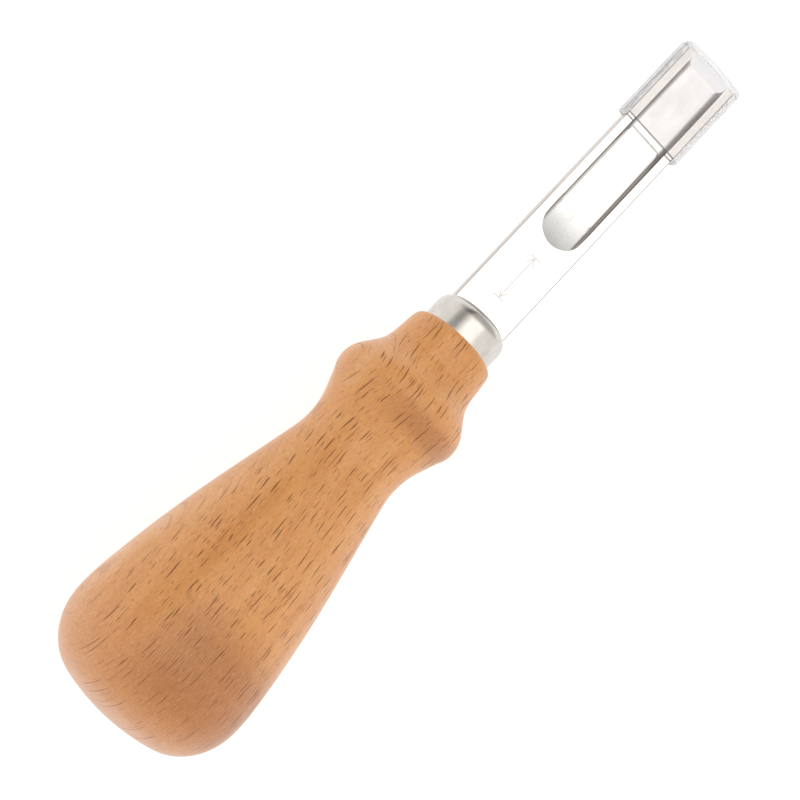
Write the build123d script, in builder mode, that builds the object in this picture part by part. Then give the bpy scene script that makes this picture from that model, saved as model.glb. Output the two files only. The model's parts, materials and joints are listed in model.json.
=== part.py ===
"""Channel cutter: turned beech handle, steel cap, hollow-ground blade and clear tip guard.

Stations are measured along the tool's axis from the handle's front shoulder, positive towards the tip.
The tool lies as it rests on a bench: on the bulb and on the ring of its handle, leaning tip down.
+X points along the tool towards the tip and +Z points up. The origin is on the bench, below the middle.
"""

import os
from math import asin, atan2, cos, degrees, hypot, radians, sin, tan

from build123d import *

# ------------------------------------------------------------ driving dimensions, in millimetres

# Turned handle, from the butt to the nose
handle_length = 81.1
butt_crown_radius = 36.0
butt_crown_arc = 14.0           # degrees from the axis to where the crown ends
butt_corner_inset = 4.9         # the butt's rounded corner lies this far ahead of the butt,
butt_corner_drop = 2.25         # and this far inside the widest radius
bulb_to_butt = 12.4
bulb_radius = 16.65
bulb_crown_radius = 40.0
taper_to_shoulder = 48.0        # a point halfway down the long taper,
taper_radius = 13.93            # which keeps it a little full
neck_to_shoulder = 24.5
neck_radius = 9.2
neck_hollow_radius = 15.0
neck_rear_arc = 12.0            # degrees of the hollow behind the narrowest point,
neck_front_arc = 22.0           # and ahead of it
ring_to_shoulder = 13.65
ring_radius = 12.0
ring_crown_radius = 5.0
ring_crown_arc = 28.0           # degrees of the crown on each side of the widest point
nose_length = 5.4
nose_taper = 0.35
nose_round = 2.0
nose_shoulder = 1.32            # the nose stands this far outside the shoulder's inner edge

# Blade
channel_width = 8.0
channel_depth = 0.9
channel_start = 22.7
channel_run_out = 8.0
land_width = 1.5                # flat on each side of the channel
blade_thickness = 1.8
tip_station = 63.3
bevel_angle = 30.0
tang_width = 6.0
tang_length = 30.0
tang_point = 4.0

# Steel cap
ferrule_projection = 5.8
ferrule_wall = 0.8
ferrule_round = 2.5

# Clear guard
guard_reach = 15.5              # its mouth lies this far behind the blade's tip
guard_wall = 0.8
guard_end_wall = 0.9
guard_corner = 1.3
guard_end_round = 0.4
guard_end_crown = 46.0          # radius of the end, which bows outwards from side to side

# Clearances
blade_in_ferrule = 0.28         # from the blade's corners to the inside of the cap
slot_clearance = 0.1
spigot_clearance = 0.05
shoulder_lip = 0.05             # the wood's front face is this much wider than the cap
adhesive_gap = 0.35             # from the tang's corners to the bore
bore_floor_gap = 2.0
guard_side_clearance = 0.15
guard_face_clearance = 0.5
guard_end_clearance = 0.2

# ------------------------------------------------------------ dependent dimensions

blade_width = channel_width + 2 * land_width
blade_corner = hypot(blade_width / 2, blade_thickness / 2)

ferrule_radius = blade_corner + blade_in_ferrule + ferrule_wall
spigot_radius = ferrule_radius - ferrule_wall - spigot_clearance
spigot_length = ferrule_projection - ferrule_round
shoulder_radius = ferrule_radius + shoulder_lip
nose_front_radius = shoulder_radius + nose_shoulder
nose_rear_radius = nose_front_radius + nose_taper

tang_end = spigot_length - tang_length
bore_radius = hypot(tang_width / 2, blade_thickness / 2) + adhesive_gap
bore_depth = tang_length + bore_floor_gap

guard_mouth = tip_station - guard_reach
guard_floor = tip_station + guard_end_clearance
guard_end = guard_floor + guard_end_wall
guard_inner_width = blade_width + 2 * guard_side_clearance
guard_inner_height = blade_thickness + 2 * guard_face_clearance
guard_width = guard_inner_width + 2 * guard_wall
guard_height = guard_inner_height + 2 * guard_wall

butt_station = -handle_length
bulb_station = butt_station + bulb_to_butt
neck_station = -neck_to_shoulder
ring_station = -ring_to_shoulder

# ------------------------------------------------------------ how the tool lies

# Seen from the side, the underside of the bulb's crown is a circle, and so are the ring's crown and
# the guard's lower end. The bench is the flattest common tangent of the bulb and one of the others.
bulb_centre_height = bulb_crown_radius - bulb_radius


def lean_on(station, crown_radius, centre_height):
    """Angle at which the bench touches the bulb and another round, whose centre is given."""
    drop = bulb_centre_height - centre_height
    centre_distance = hypot(drop, station - bulb_station)
    crown_difference = bulb_crown_radius - crown_radius
    return asin(crown_difference / centre_distance) - atan2(drop, station - bulb_station)


lean = min(
    lean_on(ring_station, ring_crown_radius, ring_crown_radius - ring_radius),
    lean_on(guard_end - guard_end_round, guard_end_round, guard_end_round - guard_height / 2),
)
contact_margin = 1.7            # degrees of the bulb's crown ahead of the line where it rests
bulb_crown_arc = degrees(lean) + contact_margin

shoulder_x = -(butt_station + guard_end) / 2 * cos(lean)
shoulder_z = bulb_crown_radius - bulb_centre_height * cos(lean) + bulb_station * sin(lean)

tool = Plane(
    origin=(shoulder_x, 0, shoulder_z),
    x_dir=(cos(lean), 0, -sin(lean)),
    z_dir=(sin(lean), 0, cos(lean)),
)
side_view = Plane(origin=tool.origin, x_dir=tool.x_dir, z_dir=(0, -1, 0))
tool_axis = Axis(tool.origin, tool.x_dir)


def across(station):
    """The plane square to the tool's axis at a station, facing the tip."""
    return Plane(origin=tool.from_local_coords((station, 0, 0)), x_dir=(0, 1, 0), z_dir=tool.x_dir)


# ------------------------------------------------------------ handle

nose_rear = Vector(-nose_length, nose_rear_radius)
nose_front = Vector(-nose_round, nose_front_radius)

with BuildPart() as handle:
    with BuildSketch(side_view):
        with BuildLine():
            butt_crown = CenterArc(
                (butt_station + butt_crown_radius, 0), butt_crown_radius, 180, -butt_crown_arc
            )
            bulb_crown = CenterArc(
                (bulb_station, -bulb_centre_height), bulb_crown_radius, 90, -bulb_crown_arc
            )
            neck_hollow = CenterArc(
                (neck_station, neck_radius + neck_hollow_radius),
                neck_hollow_radius,
                270 - neck_rear_arc,
                neck_rear_arc + neck_front_arc,
            )
            ring_crown = CenterArc(
                (ring_station, ring_radius - ring_crown_radius),
                ring_crown_radius,
                90 + ring_crown_arc,
                -2 * ring_crown_arc,
            )
            butt_corner = (butt_station + butt_corner_inset, bulb_radius - butt_corner_drop)
            Spline(
                butt_crown @ 1,
                butt_corner,
                bulb_crown @ 0,
                tangents=[butt_crown % 1, bulb_crown % 0],
            )
            Spline(
                bulb_crown @ 1,
                (-taper_to_shoulder, taper_radius),
                neck_hollow @ 0,
                tangents=[bulb_crown % 1, neck_hollow % 0],
            )
            Spline(neck_hollow @ 1, ring_crown @ 0, tangents=[neck_hollow % 1, ring_crown % 0])
            Spline(ring_crown @ 1, nose_rear, tangents=[ring_crown % 1, nose_front - nose_rear])
            Line(nose_rear, nose_front)
            Spline(nose_front, (0, shoulder_radius), tangents=[nose_front - nose_rear, (0, -1)])
            Polyline(
                (0, shoulder_radius),
                (0, spigot_radius),
                (spigot_length, spigot_radius),
                (spigot_length, 0),
                (butt_station, 0),
            )
        make_face()
    revolve(axis=tool_axis)
    with Locations(across(spigot_length)):
        Hole(radius=bore_radius, depth=bore_depth)
handle.part.label = "handle"

# ------------------------------------------------------------ steel cap

with BuildPart() as ferrule:
    with BuildSketch(across(0)):
        Circle(ferrule_radius)
    extrude(amount=ferrule_projection)
    fillet(ferrule.faces().sort_by(tool_axis)[-1].edges(), radius=ferrule_round)
    offset(amount=-ferrule_wall, openings=ferrule.faces().sort_by(tool_axis)[0])
    with BuildSketch(across(spigot_length)):
        Rectangle(blade_width + 2 * slot_clearance, blade_thickness + 2 * slot_clearance)
    extrude(amount=ferrule_projection, mode=Mode.SUBTRACT)
ferrule.part.label = "ferrule"

# ------------------------------------------------------------ blade

# A round-cornered wheel grinds the channel and lifts out on a long arc, so the floor climbs to the
# face as the channel ends, inside an outline with a half-round end.
floor_height = blade_thickness / 2 - channel_depth
wheel_radius = (channel_run_out**2 + channel_depth**2) / (2 * channel_depth)
wheel_station = channel_start + channel_run_out
wheel_centre = tool.from_local_coords((wheel_station, 0, floor_height + wheel_radius))
wheel_axis = Axis(wheel_centre, (0, 1, 0))
wheel_sweep = 1.5 * degrees(asin(channel_run_out / wheel_radius))
cut_over = 1.0                  # the cutting solid stands this far outside the steel

with BuildPart() as channel:
    with BuildSketch(across(wheel_station)) as section:
        with Locations((0, floor_height)):
            Rectangle(channel_width, channel_depth + cut_over, align=(Align.CENTER, Align.MIN))
        fillet(section.vertices().group_by(Axis.Y)[0], radius=channel_depth)
    extrude(amount=tip_station - wheel_station + cut_over)
    revolve(section.sketch, axis=wheel_axis, revolution_arc=wheel_sweep)
    with BuildSketch(tool):
        with Locations((channel_start + channel_width / 2, 0)):
            Circle(channel_width / 2)
            Rectangle(
                tip_station - channel_start,
                channel_width + 2 * cut_over,
                align=(Align.MIN, Align.CENTER),
            )
    extrude(amount=blade_thickness + cut_over, both=True, mode=Mode.INTERSECT)

bevel_length = blade_thickness / tan(radians(bevel_angle))

with BuildPart() as blade:
    with BuildSketch(side_view):
        with BuildLine():
            Polyline(
                (spigot_length, -blade_thickness / 2),
                (tip_station - bevel_length, -blade_thickness / 2),
                (tip_station, blade_thickness / 2),
                (spigot_length, blade_thickness / 2),
                close=True,
            )
        make_face()
    extrude(amount=blade_width / 2, both=True)
    with BuildSketch(tool):
        with BuildLine():
            Polyline(
                (spigot_length, tang_width / 2),
                (tang_end + tang_point, tang_width / 2),
                (tang_end, 0),
                (tang_end + tang_point, -tang_width / 2),
                (spigot_length, -tang_width / 2),
                close=True,
            )
        make_face()
    extrude(amount=blade_thickness / 2, both=True)
    add(channel.part, mode=Mode.SUBTRACT)
blade.part.label = "blade"

# ------------------------------------------------------------ adhesive that holds the tang

with BuildPart() as tang_adhesive:
    with BuildSketch(across(spigot_length - bore_depth)):
        Circle(bore_radius)
    extrude(amount=bore_depth)
    add(blade.part, mode=Mode.SUBTRACT)
tang_adhesive.part.label = "tang_adhesive"

# ------------------------------------------------------------ clear guard, slid over the tip

with BuildPart() as tip_guard:
    with BuildSketch(across(guard_mouth)):
        RectangleRounded(guard_width, guard_height, guard_corner)
    extrude(amount=guard_end - guard_mouth)
    with BuildSketch(tool):
        with Locations((guard_end - guard_end_crown, 0)):
            Circle(guard_end_crown)
    extrude(amount=guard_height, both=True, mode=Mode.INTERSECT)
    fillet(tip_guard.faces().sort_by(tool_axis)[-1].edges(), radius=guard_end_round)
    with BuildSketch(across(guard_mouth)):
        RectangleRounded(guard_inner_width, guard_inner_height, guard_corner - guard_wall)
    extrude(amount=guard_floor - guard_mouth, mode=Mode.SUBTRACT)
tip_guard.part.label = "tip_guard"

# ------------------------------------------------------------ one file for each piece

os.makedirs("parts", exist_ok=True)
for piece in (handle, ferrule, blade, tang_adhesive, tip_guard):
    export_step(piece.part, f"parts/{piece.part.label}.step")

print(f"lean {degrees(lean):.3f} degrees")
print(f"shoulder at x {shoulder_x:.3f}, z {shoulder_z:.3f}")
print(f"axis direction {tool.x_dir.X:.6f}, 0, {tool.x_dir.Z:.6f}")
print(f"cap radius {ferrule_radius:.3f}, straight for {spigot_length:.3f}")
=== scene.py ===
# %% [markdown]
# # A channel cutter, lying on a bench
#
# The tool has five pieces. A handle of varnished beech was turned on a lathe. A short steel cap sits on
# its nose. A flat blade of polished steel comes out of the cap, with a channel ground along its face. A
# clear plastic guard is slid over the tip. Resin holds the blade's tang inside the handle.
#
# The imported frame holds the true shapes and sizes. This script reads the tool's axes, the handle's outline
# and the blade's channel from it, and makes the surfaces. Where a mark or a patch of painted shade lies is
# given here, in millimetres along and across the tool.

# %% Load the frame
import json
import math

import bmesh
import bpy
from mathutils import Matrix, Vector


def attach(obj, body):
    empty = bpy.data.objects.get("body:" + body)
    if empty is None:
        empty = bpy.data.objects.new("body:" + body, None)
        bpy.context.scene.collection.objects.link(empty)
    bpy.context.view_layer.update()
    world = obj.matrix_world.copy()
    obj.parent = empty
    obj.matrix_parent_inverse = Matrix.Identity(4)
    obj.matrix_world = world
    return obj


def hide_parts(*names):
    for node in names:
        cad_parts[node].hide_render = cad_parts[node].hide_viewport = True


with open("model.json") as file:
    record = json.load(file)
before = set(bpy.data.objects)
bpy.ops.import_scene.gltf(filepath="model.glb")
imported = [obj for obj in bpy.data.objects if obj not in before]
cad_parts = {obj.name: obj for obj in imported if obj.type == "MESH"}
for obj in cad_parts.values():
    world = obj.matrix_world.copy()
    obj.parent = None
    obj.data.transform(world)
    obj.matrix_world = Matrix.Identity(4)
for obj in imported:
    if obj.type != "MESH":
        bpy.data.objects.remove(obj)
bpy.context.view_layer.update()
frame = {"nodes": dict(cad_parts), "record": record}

print("nodes:", sorted(frame["nodes"]))

# %% [markdown]
# ## The tool's own axes
#
# The tool leans tip down by a few degrees, because it rests on the bulb and the ring of its handle. It is
# far easier to think along the blade than along the bench, so everything below is laid out in the tool's
# axes: X runs along it to the tip, Y to its left and Z out of the blade's face. The steel cap's mount
# gives them. It lies on the axis, halfway along the cap's straight wall, which starts at the shoulder.

# %% Read the tool's axes from the cap's mount
MM = 0.001
cap_mount = next(m for m in frame["record"]["mounts"] if m["name"] == "ferrule_seat")
along = Vector(cap_mount["axis"]).normalized()
left = Vector((0, 1, 0))
upward = along.cross(left)
shoulder = Vector(cap_mount["pos_m"]) - along * cap_mount["dims"]["length_mm"] * MM / 2
tool_to_bench = Matrix.Translation(shoulder) @ Matrix((along, left, upward)).transposed().to_4x4()
bench_to_tool = tool_to_bench.inverted()
lean = math.atan2(-along.z, along.x)
print(f"the tool leans {math.degrees(lean):.2f} degrees")


def tool_points(name):
    """The corners of a CAD node's mesh in the tool's axes, in millimetres."""
    return [bench_to_tool @ v.co / MM for v in frame["nodes"][name].data.vertices]


for name in sorted(frame["nodes"]):
    points = tool_points(name)
    low = [round(min(p[i] for p in points), 2) for i in range(3)]
    high = [round(max(p[i] for p in points), 2) for i in range(3)]
    print(f"{name}: from {low} to {high} mm")

# %% [markdown]
# ## Writing node trees as arithmetic
#
# Materials, light and Geometry Nodes are all webs of nodes. Drawn by hand they are hard to follow.
# Written with one small class that answers to Python's operators they stay readable: `station / 3 + 1`
# adds the two Math nodes by itself. Every other node comes from one method, which takes the node's type,
# its settings and the values of its sockets.

# %% A value that answers to arithmetic
class Value:
    """One output socket of a node tree."""

    def __init__(self, tree, socket):
        self.tree = tree
        self.socket = socket

    def maths(self, operation, *others):
        return self.tree.node("ShaderNodeMath", {"operation": operation}, self, *others)

    def __add__(self, other):
        return self.maths("ADD", other)

    def __sub__(self, other):
        return self.maths("SUBTRACT", other)

    def __rsub__(self, other):
        return self.tree.node("ShaderNodeMath", {"operation": "SUBTRACT"}, other, self)

    def __mul__(self, other):
        return self.maths("MULTIPLY", other)

    def __truediv__(self, other):
        return self.maths("DIVIDE", other)

    def __pow__(self, other):
        return self.maths("POWER", other)

    def __abs__(self):
        return self.maths("ABSOLUTE")

    __radd__ = __add__
    __rmul__ = __mul__

    def rise(self, low, high):
        """0 below low and 1 above high, with a smooth climb between."""
        return self.tree.node(
            "ShaderNodeMapRange", {"interpolation_type": "SMOOTHSTEP"}, self, low, high
        )

    def fall(self, low, high):
        """1 below low and 0 above high."""
        return 1 - self.rise(low, high)

    def band(self, middle, half, soft):
        """1 within half of the middle, and 0 further off than half + soft."""
        return abs(self - middle).fall(half, half + soft)


# %% A tree to write on
class Tree:
    """A node tree whose nodes are added by type."""

    def __init__(self, tree):
        self.tree = tree

    def fill(self, socket, value):
        if isinstance(value, Value):
            self.tree.links.new(value.socket, socket)
        else:
            socket.default_value = value

    def node(self, kind, settings=None, *values, out=0, **named):
        """Adds a node, applies its settings, fills its sockets, and returns one of its outputs."""
        made = self.tree.nodes.new(kind)
        for key, value in (settings or {}).items():
            if key == "stops":
                ramp = made.color_ramp
                while len(ramp.elements) < len(value):
                    ramp.elements.new(0.5)
                for element, (place, colour) in zip(ramp.elements, value):
                    element.position = place
                    element.color = (*colour, 1)
            else:
                setattr(made, key, value)
        for index, value in enumerate(values):
            self.fill(made.inputs[index], value)
        for key, value in named.items():
            self.fill(made.inputs[key.replace("_", " ")], value)
        return Value(self, made.outputs[out]) if made.outputs else None

    def vector(self, x, y, z):
        return self.node("ShaderNodeCombineXYZ", None, x, y, z)

    def split(self, vector):
        """The three numbers of a vector."""
        first = self.node("ShaderNodeSeparateXYZ", None, vector)
        return [Value(self, output) for output in first.socket.node.outputs]

    def noise(self, x, y, z, detail=2.0, roughness=0.5):
        """Smooth noise around 0.5, one wave to each unit."""
        point = self.vector(x, y, z)
        return self.node(
            "ShaderNodeTexNoise", None, Vector=point, Scale=1.0, Detail=detail, Roughness=roughness
        )


# %% A material to write on
class Finish(Tree):
    """A material with one Principled shader. Its constants are set on the shader's own sockets."""

    def __init__(self, name, **constants):
        self.material = bpy.data.materials.new(name)
        self.material.use_nodes = True
        super().__init__(self.material.node_tree)
        self.shader = self.tree.nodes["Principled BSDF"]
        self.wear(**constants)

    def wear(self, **sockets):
        """Sets or connects the shader's sockets."""
        for name, value in sockets.items():
            self.fill(self.shader.inputs[name.replace("_", " ")], value)

    def place(self):
        """The point being shaded, in the tool's axes and in millimetres."""
        mapped = self.node(
            "ShaderNodeMapping",
            {"vector_type": "TEXTURE"},
            Vector=self.node("ShaderNodeTexCoord", out="Object"),
            Location=shoulder,
            Rotation=(0, lean, 0),
            Scale=(MM, MM, MM),
        )
        return self.split(mapped)

    def mix(self, share, first, second):
        """A colour between two, by a share from 0 to 1."""
        made = self.node("ShaderNodeMix", {"data_type": "RGBA"}, share, out=2)
        self.fill(made.socket.node.inputs[6], first)
        self.fill(made.socket.node.inputs[7], second)
        return made

    def bump(self, height, depth):
        """A normal from a height between 0 and 1, which stands for depth in millimetres."""
        return self.node("ShaderNodeBump", None, Height=height, Distance=depth * MM)


# %% [markdown]
# ## Beech
#
# Beech is known by its flecks. They are the cut ends of its rays, which are thin sheets of cells that run
# from the heart of the tree to its bark. Where the surface faces the bark, each ray shows as a short dark
# dash along the grain. Round the side of the handle the same sheets are cut flat, and show as broad
# flakes. So the pattern is made as the wood has it: every dash reaches far along the ray's direction, and
# the turned shape cuts through it. The rays of this billet stand a little out of upright, so a dash turns
# aside where the handle's surface slopes, as it does on a real one.
#
# Each dash lives in one cell of a stretched Voronoi pattern. The cell gives its centre, and its three
# random numbers decide how dark, how slanted and how long the dash is.

# %% The flecks of one size
ray_tilt = math.radians(4)
fleck_scatter = 0.8
fleck_slant = 0.10


def flecks(beech, x, y, z, cell, length, width, share):
    """Dashes along x: 1 inside a dash, falling to 0 at its pointed ends. Sizes are in millimetres."""
    chance = beech.node(
        "ShaderNodeTexVoronoi",
        None,
        Vector=beech.vector(x / cell[0], y / cell[1], z / cell[2]),
        Scale=1.0,
        Randomness=fleck_scatter,
        out="Color",
    )
    centre = beech.split(Value(beech, chance.socket.node.outputs["Position"]))
    dark, slant, size = beech.split(chance)
    dx = x - centre[0] * cell[0]
    dy = y - centre[1] * cell[1] - dx * (slant - 0.5) * fleck_slant
    ends = dx / (length * 0.5 * (size * 0.9 + 0.55))
    sides = abs(dy) / (width * 0.5)
    body = (1 - ends * ends - sides).rise(0.0, 0.6)
    return body * dark.rise(1 - share, 1 - share * 0.55)


# %% [markdown]
# The wood's colour is built up in layers, each laid over the last by a share: the ground, the broad flakes
# round the sides, a rosier butt, two patches of painted shade on the right of the bulb and of the ring, the
# fine lines the lathe left, dark and pale fibres, and the flecks on top.

# %% The varnished beech
beech_ground = [
    (0.34, (0.720, 0.286, 0.068)),
    (0.50, (0.830, 0.365, 0.102)),
    (0.66, (0.890, 0.430, 0.145)),
]
flake_colour = (0.860, 0.480, 0.240, 1)
butt_colour = (0.780, 0.345, 0.150, 1)
# Painted shade: the colour of the darker patches on the right of the bulb and of the ring.
painted_wood_shade_colour = (0.480, 0.160, 0.028, 1)
turning_colour = (0.450, 0.170, 0.060, 1)
dark_fibre_colour = (0.510, 0.190, 0.055, 1)
pale_fibre_colour = (0.980, 0.600, 0.330, 1)
fleck_colour = (0.210, 0.056, 0.012, 1)


def make_beech():
    beech = Finish("beech_varnished", IOR=1.5, Coat_Roughness=0.27, Coat_IOR=1.5)
    x, y, z = beech.place()
    wander = beech.noise(x / 30, y / 14, z / 14, detail=1.0) * 1.2
    kink = beech.noise(x * 0.9, y / 3, z / 3, detail=1.0) * 0.09
    across_rays = y * math.cos(ray_tilt) + z * math.sin(ray_tilt) + wander + kink
    along_rays = z * math.cos(ray_tilt) - y * math.sin(ray_tilt)

    rays = (x, across_rays, along_rays)
    long_flecks = flecks(beech, *rays, (5.2, 1.05, 26.0), 3.9, 0.24, 0.62)
    short_flecks = flecks(beech, *rays, (2.7, 0.70, 16.0), 1.9, 0.18, 0.55)
    fine_flecks = flecks(beech, *rays, (1.4, 0.40, 9.0), 1.0, 0.13, 0.55)
    fibre = beech.noise(x * 1.3, across_rays * 4.5, along_rays * 2.5, detail=3.0, roughness=0.8)
    weave = x * 0.8 + across_rays * 4.0
    mottle = beech.noise(weave, across_rays * 6.0, along_rays * 3.0, detail=2.0, roughness=0.8)
    figure = beech.noise(x / 24, across_rays / 2.6, along_rays / 7, detail=3.0, roughness=0.6)
    out_from_axis = (y * y + z * z) ** 0.5
    flat_cut = (abs(across_rays - wander - kink) / out_from_axis).rise(0.78, 0.99)
    turning = beech.noise(x * 5.0, y / 7, z / 7, detail=3.0, roughness=0.7)

    ground = beech.node("ShaderNodeValToRGB", {"stops": beech_ground}, figure * 0.6 + fibre * 0.4)
    butt = x.fall(-76.0, -62.0)
    flaked = beech.mix(flat_cut * figure.rise(0.5, 0.6) * 0.35, ground, flake_colour)
    rosy = beech.mix(butt * 0.6, flaked, butt_colour)
    # Painted shade: the bulb and the ring are painted darker on their right side.
    bulb_shade_painted = x.band(-68.0, 3.5, 9.0) * y.fall(0.0, 12.0)
    ring_shade_painted = x.band(-16.0, 0.6, 3.2) * y.fall(-3.0, 8.0)
    shade_painted_share = bulb_shade_painted + ring_shade_painted * 0.8
    shade_painted_wood = beech.mix(shade_painted_share * 0.78, rosy, painted_wood_shade_colour)
    turned = turning.rise(0.50, 0.72) * (0.07 + butt * 0.18)
    ringed = beech.mix(turned, shade_painted_wood, turning_colour)
    grained = beech.mix(fibre.rise(0.45, 0.64) * 0.36, ringed, dark_fibre_colour)
    pale = beech.mix(mottle.rise(0.54, 0.70) * 0.32, grained, pale_fibre_colour)
    thinning = (1 - butt * 0.45) * (1 - flat_cut * 0.75)
    dashes = (long_flecks * 0.92 + short_flecks * 0.60 + fine_flecks * 0.30) * thinning
    colour = beech.mix(dashes.maths("MINIMUM", 0.88), pale, fleck_colour)
    beech.wear(
        Base_Color=colour,
        Roughness=0.42 + fibre * 0.14 + dashes * 0.12,
        Coat_Weight=0.55 - dashes * 0.4,
        Normal=beech.bump(fibre * 0.5 + turning * 0.35 - dashes * 0.5, 0.02),
    )
    return beech.material


beech_finish = make_beech()
print("beech nodes:", len(beech_finish.node_tree.nodes))

# %% [markdown]
# ## Steel
#
# The cap was turned and brushed, so its scratches run round it. The blade was ground and polished along
# its length. Both are the same metal, and only the direction and the depth of the scratches differ. A
# scratch pattern is noise stretched hard along the scratches.

# %% The brushed cap
cap_dull = (0.63, 0.595, 0.55, 1)
cap_bright = (0.71, 0.68, 0.635, 1)
cap_scratch = (0.50, 0.47, 0.43, 1)


def make_cap_steel():
    steel = Finish("cap_steel_brushed", Metallic=1.0)
    x, y, z = steel.place()
    rings = steel.noise(x * 11, y / 3, z / 3, detail=3.0, roughness=0.7)
    cloud = steel.noise(x / 2.5, y / 2.0, z / 2.0)
    tint = steel.mix(cloud.rise(0.3, 0.7), cap_dull, cap_bright)
    steel.wear(
        Base_Color=steel.mix(rings.rise(0.48, 0.75) * 0.22, tint, cap_scratch),
        Roughness=0.16 + rings * 0.10 + cloud * 0.06,
        Normal=steel.bump(rings, 0.003),
    )
    return steel.material


# %% [markdown]
# The maker marks the width of the cut on the blade's face. Here the mark is a plain dimension symbol: a
# line with an arrowhead at each end, between two bars. It is etched, so it is a little darker and duller
# than the polish. Each stroke is a band, 1 where the point is closer to the stroke than half its width.

# %% The width mark
mark_middle = 14.8
mark_half_length = 4.5
mark_half_height = 1.0
arrow_length = 1.5
arrow_slope = 0.45
stroke = 0.12


def width_mark(steel, x, y):
    run = abs(x - mark_middle)
    height = abs(y)
    back = mark_half_length - run
    soft = stroke * 0.6
    inside = run.fall(mark_half_length, mark_half_length + soft)
    tall = height.fall(mark_half_height, mark_half_height + soft)
    bars = run.band(mark_half_length, stroke, soft) * tall
    line = height.band(0.0, stroke, soft) * inside
    slopes = abs(height - back * arrow_slope).fall(stroke, stroke + soft)
    heads = slopes * back.fall(arrow_length, arrow_length + 0.1) * inside
    return bars.maths("MAXIMUM", line).maths("MAXIMUM", heads)


# %% [markdown]
# The blade is brightest on its face, and its sides are painted darker and pinker, as painted shade and
# reflection. The channel was ground and not polished, so it is scratched, most of all in its run-out. The
# channel's corners are painted dark brown as painted shade, and a thin painted dark line, a painted
# reflection, follows each of the upper edges.

# %% The polished blade
blade_dull = (0.79, 0.78, 0.765, 1)
blade_bright = (0.84, 0.83, 0.82, 1)
blade_scratch = (0.50, 0.48, 0.46, 1)
# Painted shade: the dark brown of the channel's corners.
painted_corner_shade_colour = (0.200, 0.150, 0.120, 1)
# Painted shade and reflection: the darker, pinker colour of the blade's side faces.
painted_side_shade_colour = (0.560, 0.490, 0.440, 1)
# Painted reflection: the colour of a thin dark line along each upper edge.
painted_edge_line_colour = (0.220, 0.190, 0.170, 1)
etched_colour = (0.55, 0.51, 0.47, 1)


def make_blade_steel():
    steel = Finish("blade_steel_polished", Metallic=1.0)
    x, y, z = steel.place()
    lines = steel.noise(x / 9, y * 8, z * 8, detail=3.0, roughness=0.65)
    cloud = steel.noise(x / 9, y / 3, z / 3)
    ground = z.fall(0.55, 0.85) * x.rise(20.0, 23.0)
    run_out = x.band(25.5, 2.8, 3.5) * z.fall(0.86, 0.90) * abs(y).fall(3.5, 4.0)
    etched = width_mark(steel, x, y) * z.rise(0.80, 0.88)
    tint = steel.mix(cloud.rise(0.35, 0.7), blade_dull, blade_bright)
    scratches = lines.rise(0.5, 0.8) * (0.10 + ground * 0.30 + run_out * 0.35)
    scored = steel.mix(scratches, tint, blade_scratch)
    # Painted shade: the channel's lower corners and walls are tinted dark brown.
    corners = abs(y).rise(3.0, 3.9) * z.fall(0.55, 0.88) * abs(y).fall(4.05, 4.15) * z.rise(-0.2, 0.0)
    corner_shaded = steel.mix(corners * 0.75, scored, painted_corner_shade_colour)
    # Painted shade and reflection: the blade's side faces are tinted darker and pinker.
    sides = steel.mix(abs(y).rise(5.41, 5.46) * 0.8, corner_shaded, painted_side_shade_colour)
    # Painted reflection: a thin dark line along each of the blade's upper edges.
    painted_edge_lines = abs(y).band(5.40, 0.05, 0.07) * z.rise(0.80, 0.88)
    edge_lined = steel.mix(painted_edge_lines * 0.75, sides, painted_edge_line_colour)
    steel.wear(
        Base_Color=steel.mix(etched * 0.55, edge_lined, etched_colour),
        Roughness=0.08 + lines * 0.06 + ground * 0.08 + run_out * 0.08 + etched * 0.25,
        Normal=steel.bump(lines * (0.3 + ground * 0.7 + run_out * 1.2), 0.002),
    )
    return steel.material


cap_finish = make_cap_steel()
blade_finish = make_blade_steel()
print("two steels")

# %% [markdown]
# ## Clear plastic and resin
#
# The guard is a thin clear moulding, so it is real glass-like plastic: light passes through and bends at
# its rounded edges, which is what draws its outline, helped by a painted shade of lavender grey on its side
# walls. A little haze, a few rub marks and a faint painted glow keep it from looking like nothing at all.
# The resin is hidden inside the handle, a cloudy amber.

# %% Clear plastic
plastic_clear = (0.880, 0.870, 0.872, 1)
plastic_hazy = (0.845, 0.835, 0.842, 1)
plastic_rubbed = (0.780, 0.755, 0.735, 1)
# Painted shade: the lavender grey tint of the guard's side walls.
plastic_painted_wall_shade = (0.740, 0.735, 0.755, 1)


def make_clear_plastic():
    # Painted glow: the guard gives off a faint bluish light of its own.
    plastic = Finish(
        "guard_clear_plastic",
        IOR=1.44,
        Transmission_Weight=1.0,
        Alpha=0.85,
        Emission_Strength=0.012,
    )
    x, y, z = plastic.place()
    haze = plastic.noise(x / 3, y / 3, z / 3, detail=3.0)
    rubs = plastic.noise(x * 1.5, y * 9, z * 9, detail=2.0, roughness=0.7)
    # Painted shade: the guard's side walls are tinted a darker lavender grey.
    painted_wall_shade = abs(y).rise(5.60, 5.75)
    rubbed = abs(y).band(4.8, 0.6, 0.2)
    clear = plastic.mix(haze.rise(0.35, 0.7), plastic_clear, plastic_hazy)
    worn = plastic.mix(rubbed * 0.8, clear, plastic_rubbed)
    plastic.wear(
        Base_Color=plastic.mix(painted_wall_shade * 0.8, worn, plastic_painted_wall_shade),
        Roughness=0.03 + rubs.rise(0.55, 0.8) * 0.08 + haze * 0.03,
        Normal=plastic.bump(haze, 0.01),
        # Painted glow: the colour of the guard's faint light of its own.
        Emission_Color=plastic.mix(haze, (0.90, 0.93, 1.0, 1), (0.95, 0.96, 1.0, 1)),
    )
    return plastic.material


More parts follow.
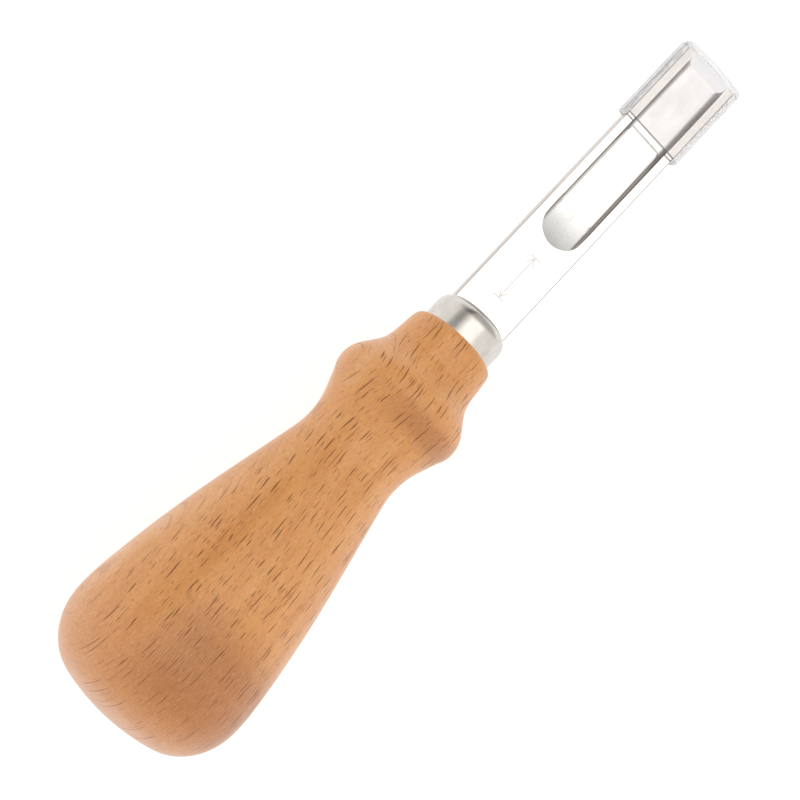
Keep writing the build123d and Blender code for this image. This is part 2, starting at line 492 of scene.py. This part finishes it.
# %% Resin
def make_resin():
    resin = Finish("resin_amber", IOR=1.5, Coat_Weight=0.4)
    x, y, z = resin.place()
    cloud = resin.noise(x * 0.6, y * 0.6, z * 0.6, detail=3.0)
    resin.wear(
        Base_Color=resin.mix(cloud.rise(0.3, 0.7), (0.36, 0.22, 0.08, 1), (0.52, 0.36, 0.15, 1)),
        Roughness=0.25 + cloud * 0.2,
    )
    return resin.material


guard_finish = make_clear_plastic()
resin_finish = make_resin()
print("plastic and resin")

# %% [markdown]
# ## The handle
#
# A turned handle is one outline swung round the lathe's axis, so Geometry Nodes can turn it too. The
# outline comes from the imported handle: its rings, in order from the middle of the butt, over the bulb,
# the neck and the ring to the nose, then down the spigot and back along the drilled hole. The tree lays a
# grid, gives each row of it one point of the outline and each column one angle, and swings it into place.
# Sanding by hand leaves a turned surface faintly uneven, and a soft noise on the radius does that here,
# which lets the highlights wander as they do on real wood. It fades out close to the cap and to the axis.

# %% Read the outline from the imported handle
hole_ahead_of = -40
same_radius = 0.01
clear_of_hole = 0.1
shortest_step = 0.04


def handle_outline():
    """Stations and radii of the handle's rings, in millimetres, from the butt round to the hole's floor."""
    rings = {(round(p.x, 2), math.hypot(p.y, p.z)) for p in tool_points("handle")}
    spigot_end = max(x for x, r in rings)
    hole_radius = min(r for x, r in rings if x == spigot_end)
    hole = [x for x, r in rings if abs(r - hole_radius) < same_radius and x > hole_ahead_of]
    hole_floor = min(hole)
    outside = {}
    for x, r in rings:
        if r > hole_radius + clear_of_hole or x < hole_floor - 1:
            outside.setdefault(x, []).append(r)
    outline = [(min(outside), 0.0)]
    for x in sorted(outside):
        for r in (max(outside[x]), min(outside[x])):
            if math.dist(outline[-1], (x, r)) > shortest_step:
                outline.append((x, r))
    return outline + [(spigot_end, hole_radius), (hole_floor, hole_radius), (hole_floor, 0.0)]


outline = handle_outline()
print(f"{len(outline)} points, from the butt at {outline[0][0]} mm to the spigot at {outline[-3][0]} mm")

# %% Build the lathe
merge_distance = 2e-6
sharp_angle = math.radians(35)
unsanded = 0.004


def build_lathe():
    group = bpy.data.node_groups.new("lathe", "GeometryNodeTree")
    for name, kind in (
        ("Outline", "NodeSocketGeometry"),
        ("Columns", "NodeSocketInt"),
        ("Sanding Depth", "NodeSocketFloat"),
        ("Sanding Size", "NodeSocketFloat"),
        ("Finish", "NodeSocketMaterial"),
    ):
        group.interface.new_socket(name, in_out="INPUT", socket_type=kind)
    group.interface.new_socket("Turned", in_out="OUTPUT", socket_type="NodeSocketGeometry")
    lathe = Tree(group)
    given = lathe.node("NodeGroupInput").socket.node.outputs
    outline_in, columns, depth, size, finish = [Value(lathe, given[i]) for i in range(5)]

    rows = lathe.node("GeometryNodeAttributeDomainSize", {"component": "MESH"}, outline_in)
    grid = lathe.node("GeometryNodeMeshGrid", None, Vertices_X=rows, Vertices_Y=columns + 1)
    index = lathe.node("GeometryNodeInputIndex")
    row = (index / (columns + 1) + 0.0001).maths("FLOOR")
    angle = (index - row * (columns + 1)) / columns * math.tau
    ring = lathe.node(
        "GeometryNodeSampleIndex",
        {"data_type": "FLOAT_VECTOR", "domain": "POINT"},
        Geometry=outline_in,
        Value=lathe.node("GeometryNodeInputPosition"),
        Index=row,
    )
    station, _, radius = lathe.split(ring)
    side = angle.maths("SINE")
    top = angle.maths("COSINE")
    uneven = lathe.noise(station / (size * 2), side * radius / size, top * radius / size) - 0.5
    off_the_cap = (station / -unsanded).rise(0.2, 1.0)
    off_the_axis = (radius / unsanded).rise(0, 1)
    sanded = radius + uneven * depth * off_the_cap * off_the_axis
    turned = lathe.node(
        "GeometryNodeSetPosition",
        None,
        Geometry=grid,
        Position=lathe.vector(station, side * sanded, top * sanded),
    )
    closed = lathe.node("GeometryNodeMergeByDistance", None, Geometry=turned, Distance=merge_distance)
    sharp = lathe.node("GeometryNodeInputMeshEdgeAngle").maths("GREATER_THAN", sharp_angle)
    shaded = lathe.node("GeometryNodeSetShadeSmooth", {"domain": "EDGE"}, closed, sharp, False)
    laid = lathe.node(
        "GeometryNodeTransform", None, Geometry=shaded, Translation=shoulder, Rotation=(0, lean, 0)
    )
    real = lathe.node("GeometryNodeRealizeInstances", None, laid)
    dressed = lathe.node("GeometryNodeSetMaterial", None, Geometry=real, Material=finish)
    lathe.node("NodeGroupOutput", None, dressed)
    return group


lathe_group = build_lathe()
print("lathe nodes:", len(lathe_group.nodes))

# %% [markdown]
# A Geometry Nodes modifier keeps its inputs under identifiers, not names, so they are looked up by name
# first. The turned shape is then read off as a plain mesh, which is what the export can carry.

# %% Turn the handle
lathe_columns = 180
sanding_depth = 0.06
sanding_size = 7.0


def new_object(name, mesh):
    made = bpy.data.objects.new(name, mesh)
    bpy.context.scene.collection.objects.link(made)
    return made


def evaluated_mesh(holder, name):
    """The mesh that an object's modifiers make, as plain data."""
    bpy.context.view_layer.update()
    evaluated = holder.evaluated_get(bpy.context.evaluated_depsgraph_get())
    mesh = bpy.data.meshes.new_from_object(evaluated)
    mesh.name = name
    return mesh


def turn_handle():
    profile = bpy.data.meshes.new("handle_outline")
    points = [(x * MM, 0, r * MM) for x, r in outline]
    profile.from_pydata(points, [(i, i + 1) for i in range(len(points) - 1)], [])
    blank = new_object("handle_blank", profile)
    lathe = blank.modifiers.new("lathe", "NODES")
    lathe.node_group = lathe_group
    settings = {
        "Columns": lathe_columns,
        "Sanding Depth": sanding_depth * MM,
        "Sanding Size": sanding_size * MM,
        "Finish": beech_finish,
    }
    for item in lathe_group.interface.items_tree:
        if item.name in settings:
            lathe[item.identifier] = settings[item.name]
    mesh = evaluated_mesh(blank, "turned_handle")
    bpy.data.objects.remove(blank)
    return new_object("turned_handle", mesh)


turned_handle = turn_handle()
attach(turned_handle, "cutter")
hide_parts("handle")
print("handle faces:", len(turned_handle.data.polygons))

# %% [markdown]
# ## The blade
#
# A ground blade never has perfectly sharp corners: they are broken by a touch on the wheel, and those thin
# flats catch the light as bright and dark lines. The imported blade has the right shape, so a copy of it is
# merged, its flat faces are joined, and its outward corners get a flat of a few hundredths of a millimetre.
# The cutting edge stays sharp, as a cutter needs, and so does the channel's shallow end.
#
# The channel climbs out of the blade on the arc of the wheel that ground it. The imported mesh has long
# straight facets there, so its floor is cut into short strips and each corner is lifted onto the arc.

# %% Grind the channel's end and break the blade's corners
hair = 0.001
flat_angle = math.radians(0.6)
corner_angle = math.radians(40)
smooth_angle = math.radians(25)
faces_up = 0.99999
strips = 20
floor_reach = 0.02
channel_half_width = 4.0
channel_inside = 3.9
past_the_tang = 10
above_underside = -0.1
corner_flat = 0.06
sharp_tip = 0.3
shallow_length = 1.0


def copy_of(node):
    """A bmesh of a CAD node with its loose triangles merged and its flats joined."""
    shape = bmesh.new()
    shape.from_mesh(frame["nodes"][node].data)
    bmesh.ops.remove_doubles(shape, verts=shape.verts, dist=1e-6)
    bmesh.ops.dissolve_limit(
        shape, angle_limit=flat_angle, verts=shape.verts, edges=shape.edges, delimit=set()
    )
    return shape


def regrind(shape, start, run_out, depth, face):
    """Cuts the climbing end of the channel into short strips and lifts them onto the wheel's arc."""
    radius = (run_out ** 2 + depth ** 2) / (2 * depth)
    for strip in range(1, strips):
        station = start + run_out * strip / strips
        bmesh.ops.bisect_plane(
            shape,
            geom=[*shape.verts, *shape.edges, *shape.faces],
            plane_co=tool_to_bench @ Vector((station * MM, 0, 0)),
            plane_no=along,
            dist=1e-7,
        )
    lifted = 0
    for vert in shape.verts:
        place = bench_to_tool @ vert.co / MM
        back = start + run_out - place.x
        if 0 < back < run_out and place.z < face - hair:
            height = face - depth + radius - math.sqrt(radius ** 2 - back ** 2)
            if abs(place.z - height) < floor_reach:
                vert.co = tool_to_bench @ (Vector((place.x, place.y, height)) * MM)
                lifted += 1
    bmesh.ops.dissolve_degenerate(shape, dist=3e-6, edges=shape.edges)
    return lifted


def break_corners(shape, flat, to_station, shallow_to):
    """Flattens every outward corner short of a station, but not where the channel is shallow."""
    sharp = []
    for edge in shape.edges:
        places = [bench_to_tool @ v.co / MM for v in edge.verts]
        ahead = all(0 < p.x < to_station for p in places)
        shallow = all(abs(p.y) < channel_half_width and p.x < shallow_to for p in places)
        if ahead and not shallow and edge.is_convex and edge.calc_face_angle() > corner_angle:
            sharp.append(edge)
    bmesh.ops.bevel(
        shape,
        geom=sharp,
        offset=flat * MM,
        offset_type="OFFSET",
        segments=2,
        profile=0.5,
        affect="EDGES",
    )
    return len(sharp)


def finished(shape, name, finish):
    """An object from a bmesh, smooth but for its sharp edges and the outlines of its upper flats."""
    mesh = bpy.data.meshes.new(name)
    shape.normal_update()
    for face in shape.faces:
        face.smooth = True
    for edge in shape.edges:
        flats = sum(face.normal.dot(upward) > faces_up for face in edge.link_faces)
        edge.smooth = edge.calc_face_angle() < smooth_angle and flats != 1
    shape.to_mesh(mesh)
    shape.free()
    mesh.materials.append(finish)
    return new_object(name, mesh)


blade_points = tool_points("blade")
blade_tip = max(p.x for p in blade_points)
blade_face = max(p.z for p in blade_points)
in_channel = [p for p in blade_points if p.x > past_the_tang and abs(p.y) < channel_inside]
in_channel = [p for p in in_channel if p.z > above_underside]
channel_start = min(p.x for p in in_channel)
channel_floor = min(p.z for p in in_channel)
channel_level = min(p.x for p in in_channel if p.z < channel_floor + hair)
print(f"the channel starts at {channel_start:.2f} and is level from {channel_level:.2f} mm")
blade_shape = copy_of("blade")
lifted = regrind(
    blade_shape,
    start=channel_start,
    run_out=channel_level - channel_start,
    depth=blade_face - channel_floor,
    face=blade_face,
)
broken = break_corners(
    blade_shape,
    flat=corner_flat,
    to_station=blade_tip - sharp_tip,
    shallow_to=channel_start + shallow_length,
)
ground_blade = finished(blade_shape, "ground_blade", blade_finish)
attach(ground_blade, "cutter")
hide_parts("blade")
print(f"{lifted} corners lifted, {broken} edges broken, {len(ground_blade.data.polygons)} faces")

# %% [markdown]
# ## The cap, the guard and the resin
#
# These three are right as they were imported, so they only get their finishes.

# %% Dress the imported pieces
def dress(name, finish):
    mesh = frame["nodes"][name].data
    mesh.materials.clear()
    mesh.materials.append(finish)


dress("ferrule", cap_finish)
dress("tip_guard", guard_finish)
dress("tang_adhesive", resin_finish)
dress("handle", beech_finish)
dress("blade", blade_finish)

# %% [markdown]
# ## Bench and light
#
# The tool lies on a white light table, which glows a little, so hardly a shadow is left. Polished steel
# shows nothing but its surroundings, so the light is planned by what the steel should mirror. Angles are
# counted across the tool, from straight up towards its left, and `ahead` runs from -1 behind the tool to 1
# beyond its tip. A wide soft box hangs overhead and a little ahead. The blade's flat mirrors it and goes
# white. A darker gap to the left of upright is where the cap gets its dark band and the channel its dark
# wall. It is dimmer behind the tool and low over the tip.

# %% The bench
bench_size = 6.0
bench_dark = (0.24, 0.24, 0.24, 1)
bench_light = (0.26, 0.26, 0.26, 1)
white_glow = (1.0, 1.0, 1.0, 1)


def make_bench():
    bpy.ops.mesh.primitive_plane_add(size=bench_size)
    bench = bpy.context.object
    bench.name = "bench"
    white = Finish("light_table", Roughness=0.8, Emission_Strength=0.86)
    x, y, z = white.place()
    patch = white.noise(x / 400, y / 400, z / 400)
    white.wear(
        Base_Color=white.mix(patch, bench_dark, bench_light),
        Emission_Color=white_glow,
    )
    bench.data.materials.append(white.material)


make_bench()

# %% The studio
def make_studio():
    world = bpy.data.worlds.new("studio")
    bpy.context.scene.world = world
    world.use_nodes = True
    sky = Tree(world.node_tree)
    backdrop = world.node_tree.nodes["Background"]
    ahead, side, up = sky.split(sky.node("ShaderNodeTexCoord", out="Generated"))
    across = side.maths("ARCTAN2", up) * (180 / math.pi)
    soft_box = across.band(3, 17, 16) * ahead.rise(0.10, 0.34) * ahead.fall(0.37, 0.66)
    gap = across.band(53, 7, 14) * ahead.rise(-0.25, 0.10)
    behind = ahead.fall(-0.50, 0.10)
    beyond = ahead.rise(0.42, 0.72)
    level = 1.03 + soft_box * 0.80 - gap * 0.64 - behind * 0.36 - beyond * 0.42
    level = level.maths("MAXIMUM", 0.12)
    warm = sky.node("ShaderNodeCombineColor", None, level, level * 0.985, level * 0.965)
    sky.fill(backdrop.inputs["Color"], warm)


make_studio()
print("studio lit")

# %% [markdown]
# ## The camera
#
# It looks steeply down from behind the butt and a little to the left, so the side of the blade just shows,
# and it is rolled so that the tool lies corner to corner. It stands well back behind a long lens, which
# keeps the tool's shape.

# %% Place the camera
def place_camera(azimuth, elevation, roll, distance, focal_length, aim):
    azimuth, elevation, roll = (math.radians(angle) for angle in (azimuth, elevation, roll))
    level = math.cos(elevation)
    back = Vector((math.sin(azimuth) * level, -math.cos(azimuth) * level, math.sin(elevation)))
    lens = bpy.data.cameras.new("camera")
    lens.lens = focal_length
    lens.clip_start = 0.01
    camera = new_object("camera", lens)
    camera.location = aim + back * distance
    camera.rotation_mode = "QUATERNION"
    turn = Matrix.Rotation(roll, 3, "Z").to_quaternion()
    camera.rotation_quaternion = back.to_track_quat("Z", "Y") @ turn
    bpy.context.scene.camera = camera


aim_station = -12.96
aim_left = 0.06
place_camera(
    azimuth=-150.95,
    elevation=75.08,
    roll=106.14,
    distance=0.4259,
    focal_length=120.07,
    aim=tool_to_bench @ (Vector((aim_station, aim_left, 0)) * MM),
)
bpy.context.scene.view_settings.view_transform = "Standard"
